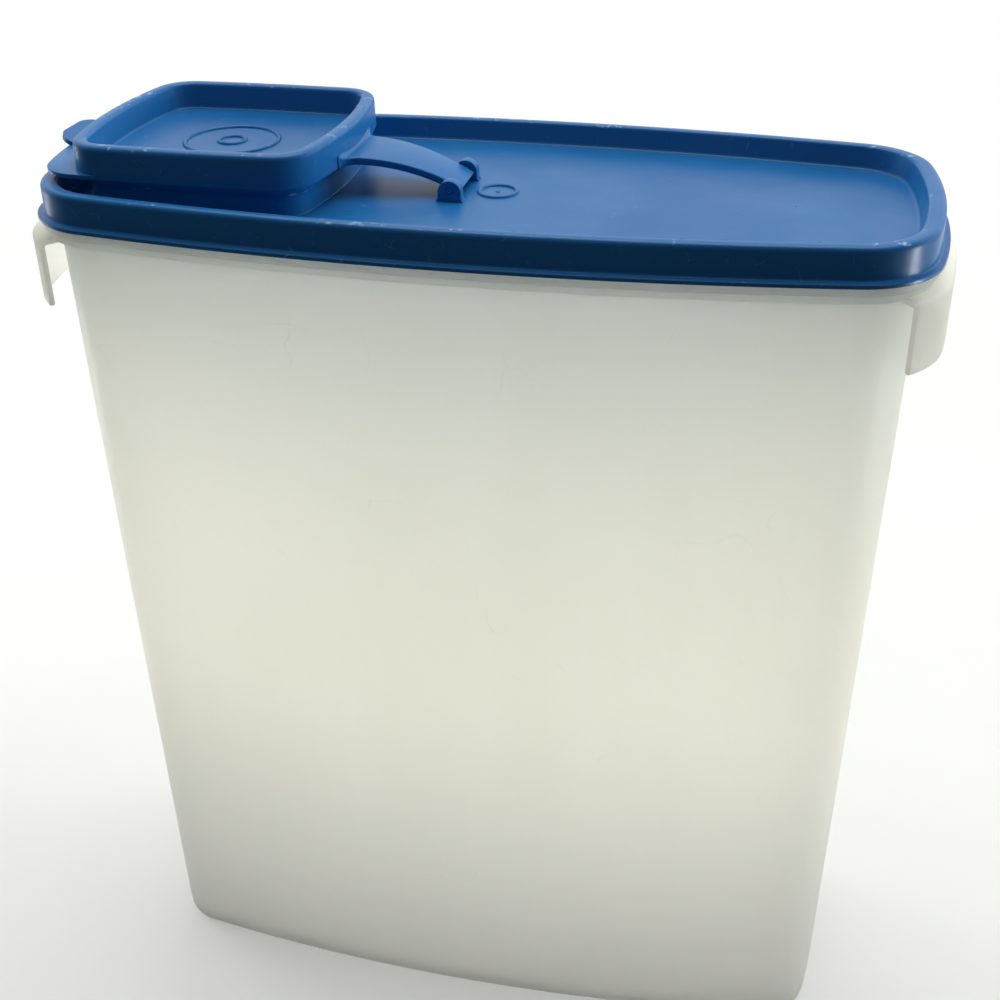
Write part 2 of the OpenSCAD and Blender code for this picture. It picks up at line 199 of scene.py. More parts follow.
# %% Build the tree
def build_sweep_tree():
    tree = bpy.data.node_groups.new("wall_along_outline", "GeometryNodeTree")
    face = tree.interface
    for name, kind in (("Path", "NodeSocketGeometry"), ("Profile", "NodeSocketObject"),
                       ("Half length", "NodeSocketFloat"), ("Centre X", "NodeSocketFloat"),
                       ("Close both ends", "NodeSocketBool"), ("Material", "NodeSocketMaterial")):
        face.new_socket(name, in_out="INPUT", socket_type=kind)
    face.new_socket("Wall", in_out="OUTPUT", socket_type="NodeSocketGeometry")
    nodes, wire = tree.nodes, tree.links.new

    def add(kind, **settings):
        node = nodes.new(kind)
        for key, value in settings.items():
            setattr(node, key, value)
        return node

    given, made = add("NodeGroupInput"), add("NodeGroupOutput")
    path = add("GeometryNodeMeshToCurve")
    upright = add("GeometryNodeSetCurveNormal", mode="Z_UP")
    profile_object = add("GeometryNodeObjectInfo")
    profile = add("GeometryNodeMeshToCurve")
    sweep = add("GeometryNodeCurveToMesh")
    wire(given.outputs["Path"], path.inputs[0])
    wire(path.outputs[0], upright.inputs[0])
    wire(given.outputs["Profile"], profile_object.inputs[0])
    wire(profile_object.outputs["Geometry"], profile.inputs[0])
    wire(upright.outputs[0], sweep.inputs["Curve"])
    wire(profile.outputs[0], sweep.inputs["Profile Curve"])
    wire(given.outputs["Close both ends"], sweep.inputs["Fill Caps"])
    # x moves by -ends * (x - centre) / half length
    place = add("GeometryNodeInputPosition")
    split = add("ShaderNodeSeparateXYZ")
    ends = add("GeometryNodeInputNamedAttribute", data_type="FLOAT")
    ends.inputs["Name"].default_value = "ends"
    from_centre = add("ShaderNodeMath", operation="SUBTRACT")
    share = add("ShaderNodeMath", operation="DIVIDE")
    pull = add("ShaderNodeMath", operation="MULTIPLY")
    inwards = add("ShaderNodeMath", operation="MULTIPLY")
    inwards.inputs[1].default_value = -1.0
    shift = add("ShaderNodeCombineXYZ")
    drawn_in = add("GeometryNodeSetPosition")
    wire(place.outputs[0], split.inputs[0])
    wire(split.outputs["X"], from_centre.inputs[0])
    wire(given.outputs["Centre X"], from_centre.inputs[1])
    wire(from_centre.outputs[0], share.inputs[0])
    wire(given.outputs["Half length"], share.inputs[1])
    wire(share.outputs[0], pull.inputs[0])
    wire(ends.outputs["Attribute"], pull.inputs[1])
    wire(pull.outputs[0], inwards.inputs[0])
    wire(inwards.outputs[0], shift.inputs["X"])
    wire(sweep.outputs[0], drawn_in.inputs["Geometry"])
    wire(shift.outputs[0], drawn_in.inputs["Offset"])
    outwards = add("GeometryNodeFlipFaces")
    plain = add("GeometryNodeRealizeInstances")
    finish = add("GeometryNodeSetMaterial")
    wire(drawn_in.outputs[0], outwards.inputs[0])
    wire(outwards.outputs[0], plain.inputs[0])
    wire(plain.outputs[0], finish.inputs["Geometry"])
    wire(given.outputs["Material"], finish.inputs["Material"])
    wire(finish.outputs[0], made.inputs[0])
    return tree


sweep_tree = build_sweep_tree()
print("sweep tree:", len(sweep_tree.nodes), "nodes")

# %% [markdown]
# The next helpers turn point lists into edges, run the tree once, and keep the result
# as a plain mesh. The helper objects and the modifier are thrown away afterwards, so
# nothing live is left on a finished piece.

# %% Helpers for meshes
def edge_object(name, points, closed, ends=None):
    """Points joined by edges, with the ends attribute on them where it is given."""
    mesh = bpy.data.meshes.new(name)
    n = len(points)
    mesh.from_pydata(points, [(i, (i + 1) % n) for i in range(n if closed else n - 1)], [])
    if ends:
        values = mesh.attributes.new("ends", "FLOAT", "POINT")
        for i, value in enumerate(ends):
            values.data[i].value = value
    made = bpy.data.objects.new(name, mesh)
    bpy.context.scene.collection.objects.link(made)
    return made


def sweep(path, profile, material, closed_path=True, closed_profile=False, shape=None):
    """A mesh of the profile, in millimetres, carried along the path."""
    shape = shape or LID_OUTLINE
    rail = edge_object("rail", [(x * MM, y * MM, 0) for x, y in path], closed_path)
    cut = edge_object("cut", [(-x * MM, -z * MM, 0) for x, z, _ in profile], closed_profile,
                      ends=[e * MM for _, _, e in profile])
    modifier = rail.modifiers.new("sweep", "NODES")
    modifier.node_group = sweep_tree
    sockets = {s.name: s.identifier for s in sweep_tree.interface.items_tree}
    modifier[sockets["Profile"]] = cut
    modifier[sockets["Half length"]] = shape["length"] / 2 * MM
    modifier[sockets["Centre X"]] = shape["x"] * MM
    modifier[sockets["Close both ends"]] = not closed_path
    modifier[sockets["Material"]] = material
    graph = bpy.context.evaluated_depsgraph_get()
    mesh = bpy.data.meshes.new_from_object(rail.evaluated_get(graph), depsgraph=graph)
    for helper in (rail, cut):
        bpy.data.objects.remove(helper)
    return mesh


SMOOTH_BELOW = math.radians(35)
SAME_POINT = 0.002 * MM


def piece(name, meshes, part, material):
    """Joins meshes to one object that stands for a part's solid and rides on its body."""
    joined = bmesh.new()
    for mesh in meshes:
        joined.from_mesh(mesh)
    bmesh.ops.remove_doubles(joined, verts=joined.verts, dist=SAME_POINT)
    flat_fill(joined)
    mesh = bpy.data.meshes.new(name)
    joined.to_mesh(mesh)
    joined.free()
    if "ends" in mesh.attributes:
        mesh.attributes.remove(mesh.attributes["ends"])
    mesh.materials.clear()
    mesh.materials.append(material)
    mesh.polygons.foreach_set("use_smooth", [True] * len(mesh.polygons))
    mesh.set_sharp_from_angle(angle=SMOOTH_BELOW)
    made = bpy.data.objects.new(name, mesh)
    bpy.context.scene.collection.objects.link(made)
    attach(made, part)
    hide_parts(part)
    print(f"{name}: {len(mesh.vertices)} points, rides on {part}")


def flat_fill(joined):
    """Closes open loops with flat faces.

    Loops on one level close together, so that one can be a hole in another."""
    levels = {}
    for edge in joined.edges:
        if len(edge.link_faces) == 1:
            levels.setdefault(round(edge.verts[0].co.z / MM, 2), []).append(edge)
    for edges in levels.values():
        bmesh.ops.triangle_fill(joined, use_beauty=True, use_dissolve=False, edges=edges)
    bmesh.ops.recalc_face_normals(joined, faces=joined.faces)


print("helpers ready")

# %% [markdown]
# ## Materials
#
# Both plastics are polyethylene, which is waxy: it spreads its highlights and never
# looks like glass. Each has three layers of detail that read the object's own
# coordinates: a slow variation of colour, a fine unevenness in the gloss, and the
# marks of use. The marks are thin curved lines, cut from the borders of Voronoi cells
# that a noise bends, and kept only in a few places by a second noise. The blue one is
# also chipped along the two rims that rub on things, which are found by their height.
#
# The milky one lets light through. A Translucent shader does that for a thin wall, and
# most of it is mixed under the gloss, so light that falls on the back makes the front
# glow. Subsurface scattering could do it too, but these walls come out too dark with it.
# Its colour also turns greyer low down. This is painted shade, where less light reaches the wall.

# %% A small kit for shaders
def srgb(r, g, b):
    """A colour as it looks on screen, 0 to 255, as the linear values that shaders use."""
    def linear(c):
        c /= 255
        return c / 12.92 if c <= 0.04045 else ((c + 0.055) / 1.055) ** 2.4
    return (linear(r), linear(g), linear(b), 1.0)


class Shader:
    """A material with its Principled shader, and short ways to add nodes to it."""

    def __init__(self, name):
        self.material = bpy.data.materials.new(name)
        self.material.use_nodes = True
        self.nodes = self.material.node_tree.nodes
        self.surface = self.nodes["Principled BSDF"]
        self.where = self.nodes.new("ShaderNodeTexCoord").outputs["Object"]

    def wire(self, a, b):
        self.material.node_tree.links.new(a, b)

    def stretched(self, x, y, z):
        """Object coordinates in metres, multiplied along each axis."""
        node = self.nodes.new("ShaderNodeMapping")
        node.inputs["Scale"].default_value = (x, y, z)
        self.wire(self.where, node.inputs["Vector"])
        return node.outputs[0]

    def height(self):
        """How high a point lies above the floor, in metres."""
        node = self.nodes.new("ShaderNodeSeparateXYZ")
        self.wire(self.where, node.inputs[0])
        return node.outputs["Z"]

    def noise(self, vector, scale, detail=3.0, rough=0.5):
        node = self.nodes.new("ShaderNodeTexNoise")
        for key, value in (("Scale", scale), ("Detail", detail), ("Roughness", rough)):
            node.inputs[key].default_value = value
        self.wire(vector, node.inputs["Vector"])
        return node.outputs["Fac"]

    def math(self, operation, a, b=0.0, clamp=False):
        node = self.nodes.new("ShaderNodeMath")
        node.operation, node.use_clamp = operation, clamp
        for socket, value in zip(node.inputs, (a, b)):
            if isinstance(value, (int, float)):
                socket.default_value = value
            else:
                self.wire(value, socket)
        return node.outputs[0]

    def remap(self, value, low, high, to_low=0.0, to_high=1.0):
        node = self.nodes.new("ShaderNodeMapRange")
        node.interpolation_type = "SMOOTHSTEP"
        self.wire(value, node.inputs["Value"])
        for key, number in (("From Min", low), ("From Max", high),
                            ("To Min", to_low), ("To Max", to_high)):
            node.inputs[key].default_value = number
        return node.outputs["Result"]

    def mix(self, share, a, b):
        node = self.nodes.new("ShaderNodeMix")
        node.data_type = "RGBA"
        for socket, value in ((node.inputs[0], share), (node.inputs[6], a), (node.inputs[7], b)):
            if isinstance(value, (tuple, int, float)):
                socket.default_value = value
            else:
                self.wire(value, socket)
        return node.outputs[2]

    def scratches(self, scale, width, bend, keep, seed):
        """Thin bent lines, 1 on a scratch and 0 elsewhere.

        A larger keep leaves them in more places, and a seed makes a pattern of its own."""
        moved = self.nodes.new("ShaderNodeVectorMath")
        moved.operation = "ADD"
        self.wire(self.where, moved.inputs[0])
        moved.inputs[1].default_value = (seed, seed * 0.7, seed * 0.3)
        warp = self.nodes.new("ShaderNodeTexNoise")
        warp.inputs["Scale"].default_value = scale * 0.9
        self.wire(moved.outputs[0], warp.inputs["Vector"])
        bent = self.nodes.new("ShaderNodeVectorMath")
        bent.operation = "MULTIPLY_ADD"
        self.wire(warp.outputs["Color"], bent.inputs[0])
        bent.inputs[1].default_value = (bend / scale,) * 3
        self.wire(moved.outputs[0], bent.inputs[2])
        cells = self.nodes.new("ShaderNodeTexVoronoi")
        cells.feature = "DISTANCE_TO_EDGE"
        cells.inputs["Scale"].default_value = scale
        self.wire(bent.outputs[0], cells.inputs["Vector"])
        line = self.remap(cells.outputs["Distance"], width, 0.0)
        place = self.noise(moved.outputs[0], scale * 1.7, 2.0)
        return self.math("MULTIPLY", line, self.remap(place, 1 - keep, 1 - keep + 0.08))

    def near_levels(self, levels, reach):
        """1 at each height in levels, and down to 0 within reach above or below it."""
        height, near = self.height(), 0.0
        for level in levels:
            off = self.math("ABSOLUTE", self.math("SUBTRACT", height, level))
            near = self.math("MAXIMUM", near, self.remap(off, reach, 0.0))
        return near

    def bump(self, height, strength, distance):
        node = self.nodes.new("ShaderNodeBump")
        node.inputs["Strength"].default_value = strength
        node.inputs["Distance"].default_value = distance
        self.wire(height, node.inputs["Height"])
        self.wire(node.outputs[0], self.surface.inputs["Normal"])


# %% Blue polyethylene
BLUE, BLUE_PALER, BLUE_WORN = srgb(18, 93, 153), srgb(25, 101, 161), srgb(165, 198, 228)
RUBBED_RIMS, RUB_REACH = (0.2718, 0.2612), 0.0006
BLUE_GLOSS = (0.27, 0.37)
POLYETHYLENE_IOR, BLUE_SHEEN = 1.51, 0.26


def blue_plastic():
    s = Shader("blue_polyethylene")
    broad = s.noise(s.where, 14, 3)
    body = s.mix(s.remap(broad, 0.3, 0.7), BLUE, BLUE_PALER)
    long_marks = s.math("MULTIPLY", s.scratches(60, 0.010, 1.0, 0.37, 0.31), 0.8)
    short_marks = s.math("MULTIPLY", s.scratches(150, 0.016, 1.4, 0.40, 1.7), 0.6)
    marks = s.math("ADD", long_marks, short_marks, clamp=True)
    specks = s.remap(s.noise(s.where, 900, 2), 0.70, 0.78)
    chips = s.remap(s.noise(s.where, 420, 3), 0.58, 0.68)
    chips = s.math("MULTIPLY", chips, s.remap(s.noise(s.where, 45, 2), 0.46, 0.60))
    chips = s.math("MULTIPLY", chips, s.near_levels(RUBBED_RIMS, RUB_REACH))
    worn = s.math("ADD", s.math("MULTIPLY", marks, 0.34), s.math("MULTIPLY", specks, 0.12))
    worn = s.math("ADD", worn, s.math("MULTIPLY", chips, 0.75), clamp=True)
    s.wire(s.mix(worn, body, BLUE_WORN), s.surface.inputs["Base Color"])
    gloss = s.remap(s.noise(s.where, 60, 4), 0.25, 0.75, *BLUE_GLOSS)
    gloss = s.math("ADD", gloss, s.math("MULTIPLY", marks, 0.25))
    s.wire(gloss, s.surface.inputs["Roughness"])
    s.surface.inputs["IOR"].default_value = POLYETHYLENE_IOR
    s.surface.inputs["Specular IOR Level"].default_value = BLUE_SHEEN
    fine = s.math("MULTIPLY", s.noise(s.where, 420, 3), 0.25)
    uneven = s.math("ADD", fine, s.noise(s.where, 36, 2))
    s.bump(s.math("SUBTRACT", uneven, s.math("MULTIPLY", marks, 0.8)), 0.12, 0.0004)
    return s.material


# %% Milky polyethylene
MILK, MILK_PALER = srgb(249, 249, 244), srgb(252, 252, 248)
MILK_SHADED_LOW, MILK_MARKED = srgb(239, 239, 237), srgb(222, 223, 217)
SHADE_LOW_ENDS = (0.01, 0.13)
MILK_GLOSS = (0.30, 0.42)
PASSES = 0.8


def milky_plastic():
    """A wall that passes most of the light it gets, with painted shade that makes it a little
    greyer low down.
    """
    s = Shader("milky_polyethylene")
    streaks = s.noise(s.stretched(1, 1, 0.12), 70, 3)
    clouds = s.noise(s.where, 9, 3)
    tone = s.math("ADD", s.math("MULTIPLY", streaks, 0.4), s.math("MULTIPLY", clouds, 0.6))
    body = s.mix(s.remap(tone, 0.35, 0.65), MILK, MILK_PALER)
    # Painted shade: the wall turns greyer towards the floor, where less light reaches it.
    body = s.mix(s.remap(s.height(), *SHADE_LOW_ENDS), MILK_SHADED_LOW, body)
    marks = s.scratches(34, 0.006, 1.2, 0.42, 2.3)
    body = s.mix(s.math("MULTIPLY", marks, 0.25), body, MILK_MARKED)
    s.wire(body, s.surface.inputs["Base Color"])
    gloss = s.remap(s.noise(s.where, 45, 4), 0.25, 0.75, *MILK_GLOSS)
    s.wire(gloss, s.surface.inputs["Roughness"])
    s.surface.inputs["IOR"].default_value = POLYETHYLENE_IOR
    fine = s.math("MULTIPLY", s.noise(s.where, 380, 3), 0.2)
    s.bump(s.math("ADD", fine, streaks), 0.08, 0.0004)
    glow = s.nodes.new("ShaderNodeBsdfTranslucent")
    s.wire(body, glow.inputs["Color"])
    through = s.nodes.new("ShaderNodeMixShader")
    through.inputs[0].default_value = PASSES
    s.wire(s.surface.outputs[0], through.inputs[1])
    s.wire(glow.outputs[0], through.inputs[2])
    s.wire(through.outputs[0], s.nodes["Material Output"].inputs["Surface"])
    return s.material


blue, milky = blue_plastic(), milky_plastic()
print("materials:", blue.name, milky.name)

# %% [markdown]
# ## The tub
#
# The tub is one deep shell with a foot ring, a rim bead in two steps and a thin lip
# that the lid presses onto. Its profile starts under the floor, goes round the outside,
# over the lip and down the inside. Flat faces close the floor below and above.

# %% Levels and insets of the tub
TUB_TOP, FLOOR, FOOT = 251.7, 3.4, 1.2
WALL, WALL_TOP_INSET, DRAFT = 2.0, 4.2, 2.5
END_TOP, END_BASE = 1.2, 3.2
BEAD = 4.5
LIP_TOP, LIP_OUT, LIP_IN = 259.1, 3.4, 4.6
BASE_INSET = WALL_TOP_INSET + DRAFT


def tub_profile():
    b, top = BASE_INSET, TUB_TOP - BEAD
    groove = TUB_TOP - BEAD / 2
    foot_ring = [(b + 6.6, FOOT, 0, END_BASE), (b + 5.7, FOOT, 0.4, END_BASE),
                 (b + 5.6, 0, 0.5, END_BASE), (b + 2.0, 0, 1.6, END_BASE),
                 (b + 0.35, 1.3, 2.2, END_BASE)]
    outside = [(b, 5.5, 3, END_BASE), (WALL_TOP_INSET, top, 0.5, END_TOP)]
    bead = [(2.0, top + 0.3, 0.35), (1.95, groove - 0.15, 0.3), (2.5, groove, 0.2),
            (0.95, groove + 0.3, 0.5), (0.9, TUB_TOP, 0.4)]
    lip = [(LIP_OUT, TUB_TOP, 0.2), (LIP_OUT, LIP_TOP, 0.6), (LIP_IN - 0.5, LIP_TOP, 0.5),
           (LIP_IN, TUB_TOP - 0.5, 1.5)]
    inside = [(WALL_TOP_INSET + WALL, top - 1, 3, END_TOP), (b + WALL, FLOOR, 4, END_BASE),
              (b + WALL + 4, FLOOR, 0, END_BASE)]
    return rounded(with_ends(foot_ring + outside + bead + lip + inside))


GRIP_OUT, GRIP_TOP, GRIP_H, GRIP_T = 2.2, 248.0, 18.0, 1.4
GRIP_SWEEP = math.radians(49)


def grip_profile():
    """The hanging skirt and the ledge that carries it, as one closed bracket."""
    seat = WALL_TOP_INSET + END_TOP + WALL / 2
    low = GRIP_TOP - GRIP_H
    return rounded(with_ends([
        (-GRIP_OUT, low, 0.45), (-GRIP_OUT, GRIP_TOP, 0.8), (seat, GRIP_TOP, 0),
        (seat, GRIP_TOP - GRIP_T, 0), (-GRIP_OUT + GRIP_T, GRIP_TOP - GRIP_T, 0.5),
        (-GRIP_OUT + GRIP_T, low, 0.45)]), closed=True)


def mirrored(mesh):
    """A copy turned over to the other end of the object."""
    other = mesh.copy()
    other.transform(Matrix.Scale(-1, 4, (1, 0, 0)))
    other.flip_normals()
    return other


# %% Make the tub
piece("tub_shell", [sweep(outline(LID_OUTLINE), tub_profile(), milky)],
      "tub", milky)
grip = sweep(round_one_end(LID_OUTLINE, GRIP_SWEEP), grip_profile(), milky,
             closed_path=False, closed_profile=True)
for name, mesh in (("tub_grip_right", grip), ("tub_grip_left", mirrored(grip))):
    piece(name, [mesh], "tub", milky)

# %% [markdown]
# ## The lid
#
# The lid is a plate with a channel round it that presses onto the tub's lip. The plate
# lies below the rim, so a spilled flake stays on it. At one end the plate opens into
# the pour neck, whose wall follows the cap's smaller outline and flares to a lip. The
# plate's flat faces are filled between both outlines, so neck and lid are one skin.

# %% Levels and insets of the lid
FLANGE, FLANGE_T, RIM = 252.0, 1.1, 261.3
PANEL, PANEL_T = 255.2, 1.5
SKIRT, SKIRT_T, RIM_IN, SHORT = 1.9, 1.2, 5.2, 1.2
CAP_LOW, CAP_TOP, TRAY, TRAY_T = 263.4, 272.0, 265.1, 1.4
CAP_SKIRT = 1.1
NECK, NECK_T, NECK_TOP = 3.4, 1.15, 266.6


def lid_profile():
    inner, step = RIM_IN + 1.2, FLANGE + FLANGE_T
    under = [(inner + 1.8, PANEL - PANEL_T, 0, SHORT), (inner - 0.2, PANEL - PANEL_T, 1.2, SHORT)]
    channel = [(RIM_IN - 0.75, FLANGE + 8, 0.6, SHORT), (SKIRT + SKIRT_T, FLANGE + 8, 0.6),
               (SKIRT + SKIRT_T - 0.1, FLANGE, 0.15)]
    flange = [(0, FLANGE, 0.25), (0, step, 0.3), (SKIRT - 0.1, step, 0.7)]
    rim = [(SKIRT, RIM, 1.7), (RIM_IN - 0.1, RIM, 0.9, SHORT)]
    panel = [(inner - 0.1, PANEL, 1.1, SHORT), (inner + 2, PANEL, 0, SHORT)]
    return rounded(with_ends(under + channel + flange + rim + panel))


def neck_profile():
    lip = CAP_SKIRT + 0.5
    outside = [(NECK - 0.9, PANEL, 0), (NECK, PANEL, 0.8), (NECK, CAP_LOW - 2.8, 1)]
    flared_lip = [(lip, CAP_LOW - 1, 0.8), (lip, NECK_TOP, 0.5), (lip + NECK_T, NECK_TOP, 0.5),
                  (lip + NECK_T, CAP_LOW - 0.4, 0.8)]
    inside = [(NECK + NECK_T, CAP_LOW - 2.2, 1), (NECK + NECK_T, PANEL - PANEL_T, 0)]
    return rounded(with_ends(outside + flared_lip + inside))


# %% Make the lid
piece("lid_shell",
      [sweep(outline(LID_OUTLINE), lid_profile(), blue),
       sweep(outline(CAP_OUTLINE), neck_profile(), blue, shape=CAP_OUTLINE)],
      "lid", blue)

# %% [markdown]
# ## Hinge ears
#
# Two small upright ears carry the cap's pegs. Each is a slab with a round top and a
# foot that spreads a little into the plate, and a bore goes right through it.

# %% Make the ears
PIN_X, PIN_Z, PEG_R, BORE_R = -7.6, 258.1, 1.0, 1.05
EAR_W, EAR_T, EAR_IN = 6.2, 3.0, 7.5
EAR_EDGE = 0.28


def ear_mesh(side):
    """A slab with a round top and a bore, made flat and then given its thickness."""
    half, foot = EAR_W / 2, PANEL - 0.3
    top_z = PIN_Z - 0.5
    outer = [(half * math.cos(t), top_z + half * math.sin(t))
             for t in (math.pi * i / 28 for i in range(29))]
    spread = [(-half, PANEL + 1.2), (-half - 0.12, PANEL + 0.6),
              (-half - 0.5, PANEL + 0.1), (-half - 0.6, foot)]
    outer = outer + spread + [(-x, z) for x, z in reversed(spread)]
    bore = [(BORE_R * math.cos(t), PIN_Z + BORE_R * math.sin(t))
            for t in (2 * math.pi * i / 32 for i in range(32))]
    made = bmesh.new()
    front = []
    for loop in (outer, bore):
        ring = [made.verts.new(((PIN_X + x) * MM, side * EAR_IN * MM, z * MM)) for x, z in loop]
        front += [made.edges.new((a, b)) for a, b in zip(ring, ring[1:] + ring[:1])]
    filled = bmesh.ops.triangle_fill(made, use_beauty=True, edges=front)
    faces = [g for g in filled["geom"] if isinstance(g, bmesh.types.BMFace)]
    deep = bmesh.ops.extrude_face_region(made, geom=faces)
    moved = [g for g in deep["geom"] if isinstance(g, bmesh.types.BMVert)]
    bmesh.ops.translate(made, verts=moved, vec=(0, side * EAR_T * MM, 0))
    bmesh.ops.recalc_face_normals(made, faces=made.faces)
    round_edges(made, EAR_EDGE)
    mesh = bpy.data.meshes.new("ear")
    made.to_mesh(mesh)
    made.free()
    return mesh


def round_edges(made, radius, over_deg=50):
    """Bevels every edge of a bmesh that turns by more than over_deg."""
    sharp = [e for e in made.edges if len(e.link_faces) == 2
             and e.calc_face_angle() > math.radians(over_deg)]
    bmesh.ops.bevel(made, geom=sharp, offset=radius * MM, segments=3, profile=0.5,
                    affect="EDGES", clamp_overlap=True)


piece("hinge_ears", [ear_mesh(-1), ear_mesh(1)], "lid", blue)

# %% [markdown]
# ## Raised rings
#
# Moulders leave thin raised rings round the point where the plastic was fed in. A ring
# is the sweep tree again, with a circle as the path and a small half-round as profile.

# %% Make the rings
LID_RING_R, GATE_R, LID_RING_X = 5, 0.7, 3.0
CAP_RING_R, CAP_HUB_R = 12.6, 3.6
RING_BEAD, HUB_BEAD = 0.7, 0.66


def ring_mesh(radius, x, level, bead):
    """A ring whose section is a half-round a little sunk into the surface at level."""
    circle = [(x + radius * math.cos(t), radius * math.sin(t))
              for t in (2 * math.pi * i / 96 for i in range(96))]
    arch = [(bead * math.cos(t), level - 0.2 + (bead + 0.1) * math.sin(t), 0.0)
            for t in (math.pi * i / 12 for i in range(13))]
    return sweep(circle, [(bead, level - 0.4, 0.0)] + arch + [(-bead, level - 0.4, 0.0)],
                 blue, closed_profile=True)


def dot_mesh(radius, x, level):
    """A low dome: the scar of the gate."""
    made = bmesh.new()
    bmesh.ops.create_uvsphere(made, u_segments=24, v_segments=12, radius=radius * MM)
    bmesh.ops.scale(made, vec=(1, 1, 0.45), verts=made.verts)
    bmesh.ops.translate(made, vec=(x * MM, 0, level * MM), verts=made.verts)
    mesh = bpy.data.meshes.new("dot")
    made.to_mesh(mesh)
    made.free()
    return mesh


piece("lid_ring",
      [ring_mesh(LID_RING_R, LID_RING_X, PANEL, RING_BEAD), dot_mesh(GATE_R, LID_RING_X, PANEL)],
      "lid", blue)
piece("cap_rings",
      [ring_mesh(CAP_RING_R, CAP_OUTLINE["x"], TRAY, RING_BEAD),
       ring_mesh(CAP_HUB_R, CAP_OUTLINE["x"], TRAY, HUB_BEAD)],
      "flip_cap", blue)

# %% [markdown]
# ## The flip cap
#
# The cap is a shallow tray with a skirt outside and a plug inside, and the neck's lip
# goes up between them. It is the same sweep along the smaller outline.

# %% Make the cap's tray
TRAY_EDGE, CAP_ROOF = 4.9, 1.2


def cap_profile():
    flat, roof = TRAY_EDGE + 1.6, CAP_TOP - CAP_ROOF
    plug = [(flat, TRAY - TRAY_T, 0), (TRAY_EDGE - 0.6, TRAY - TRAY_T, 1.0), (2.6, roof, 0.6)]
    skirt = [(CAP_SKIRT, roof, 0.5), (CAP_SKIRT, CAP_LOW, 0.3), (0, CAP_LOW, 0.3)]
    rim = [(0.2, CAP_TOP, 1.5), (3.75, CAP_TOP, 1.1)]
    tray = [(TRAY_EDGE, TRAY, 1.2), (flat, TRAY, 0)]
    return rounded(with_ends(plug + skirt + rim + tray))


piece("cap_tray", [sweep(outline(CAP_OUTLINE), cap_profile(), blue, shape=CAP_OUTLINE)],
      "flip_cap", blue)

# %% [markdown]
# ## Strap and pegs
#
# An arched strap joins the cap to its hinge. Its middle line is an arc that is level
# where it leaves the skirt and passes through the hinge's axis. Rounded sections are
# set along that line and joined, wider and thicker at the skirt, where the real strap
# has fillets. A peg stands out of each side at the axis.

# %% Make the strap
CAP_RIGHT = CAP_OUTLINE["length"] / 2 + CAP_OUTLINE["x"]
STRAP_T, STRAP_ROOT, STRAP_END, TAIL = 2.0, 20.4, 14.4, 2.3
FLARE, TOP_FILLET, SUNK, STRAP_EDGE = 3.6, 1.2, 0.4, 0.45


def section(width, low, high, r, steps=5):
    """A rounded rectangle across the strap, as (y, height) points."""
    half = width / 2
    made = []
    for cy, cz, first in ((half - r, high - r, 0), (r - half, high - r, 90),
                          (r - half, low + r, 180), (half - r, low + r, 270)):
        for i in range(steps + 1):
            t = math.radians(first + 90 * i / steps)
            made.append((cy + r * math.cos(t), cz + r * math.sin(t)))
    return made


def hollow(radius, away):
    """How far a fillet stands out at this distance from the wall it leaves."""
    if away >= radius:
        return 0.0
    return radius - math.sqrt(radius ** 2 - (radius - away) ** 2)


def strap_mesh():
    root_z = CAP_LOW + STRAP_T / 2
    level_x = CAP_RIGHT + 2
    run, drop = PIN_X - level_x, root_z - PIN_Z
    arch = (run * run + drop * drop) / (2 * drop)
    turn_end = math.atan2(run, arch - drop) + TAIL / arch
    stations = [(CAP_RIGHT - 1.0 + 3.0 * i / 12, 0.0) for i in range(12)]
    stations += [(level_x, turn_end * i / 40) for i in range(41)]
    taper_end = PIN_X - EAR_W / 2 - 0.6
    rings = []
    for flat_x, turn in stations:
        x = flat_x + arch * math.sin(turn)
        from_wall = max(0.0, x - (CAP_RIGHT - SUNK))
        tapered = min(1, max(0, (x - CAP_RIGHT) / (taper_end - CAP_RIGHT)))
        wide = STRAP_ROOT + (STRAP_END - STRAP_ROOT) * tapered + 2 * hollow(FLARE, from_wall)
        top = STRAP_T / 2 + hollow(TOP_FILLET, from_wall)
        down = arch * (1 - math.cos(turn))
        rings.append([(x + z * math.sin(turn), y, root_z - down + z * math.cos(turn))
                      for y, z in section(wide, -STRAP_T / 2, top, STRAP_EDGE)])
    return loft(rings)


def loft(rings):
    """A closed skin through rings of equally many points, with both ends filled."""
    made = bmesh.new()
    rows = [[made.verts.new([c * MM for c in p]) for p in ring] for ring in rings]
    for a, b in zip(rows, rows[1:]):
        for i in range(len(a)):
            k = (i + 1) % len(a)
            made.faces.new((a[i], a[k], b[k], b[i]))
    made.faces.new(reversed(rows[0]))
    made.faces.new(rows[-1])
    bmesh.ops.recalc_face_normals(made, faces=made.faces)
    mesh = bpy.data.meshes.new("loft")
    made.to_mesh(mesh)
    made.free()
    return mesh


def peg_mesh(side):
    """A peg from inside the strap out to the ear's face, with a small dimple in its end."""
    reach = EAR_IN + EAR_T
    body = [(4.0, PEG_R), (reach - 0.25, PEG_R), (reach, PEG_R - 0.25)]
    dimple = [(reach, 0.45), (reach - 0.15, 0.3)]
    return loft([[(PIN_X + r * math.cos(t), side * y, PIN_Z + r * math.sin(t))
                  for t in (2 * math.pi * i / 32 for i in range(32))] for y, r in body + dimple])


piece("cap_strap", [strap_mesh(), peg_mesh(-1), peg_mesh(1)], "flip_cap", blue)

# %% [markdown]
# ## The lift tab
#
# A thin lip runs round the free end at the foot of the skirt, and a rounded tongue in
# its middle slopes up to meet the thumb. The lip is the cap's own outline moved out
# along the object's length, so that it dies away into the skirt at both sides.

# %% Make the tab
TAB_OUT, TAB_T = 8.2, 1.2
TONGUE_W, TONGUE_OUT, TONGUE_TILT, TONGUE_R = 20.5, 4.2, math.radians(16), 6.5
PLATE_EDGE = 0.3


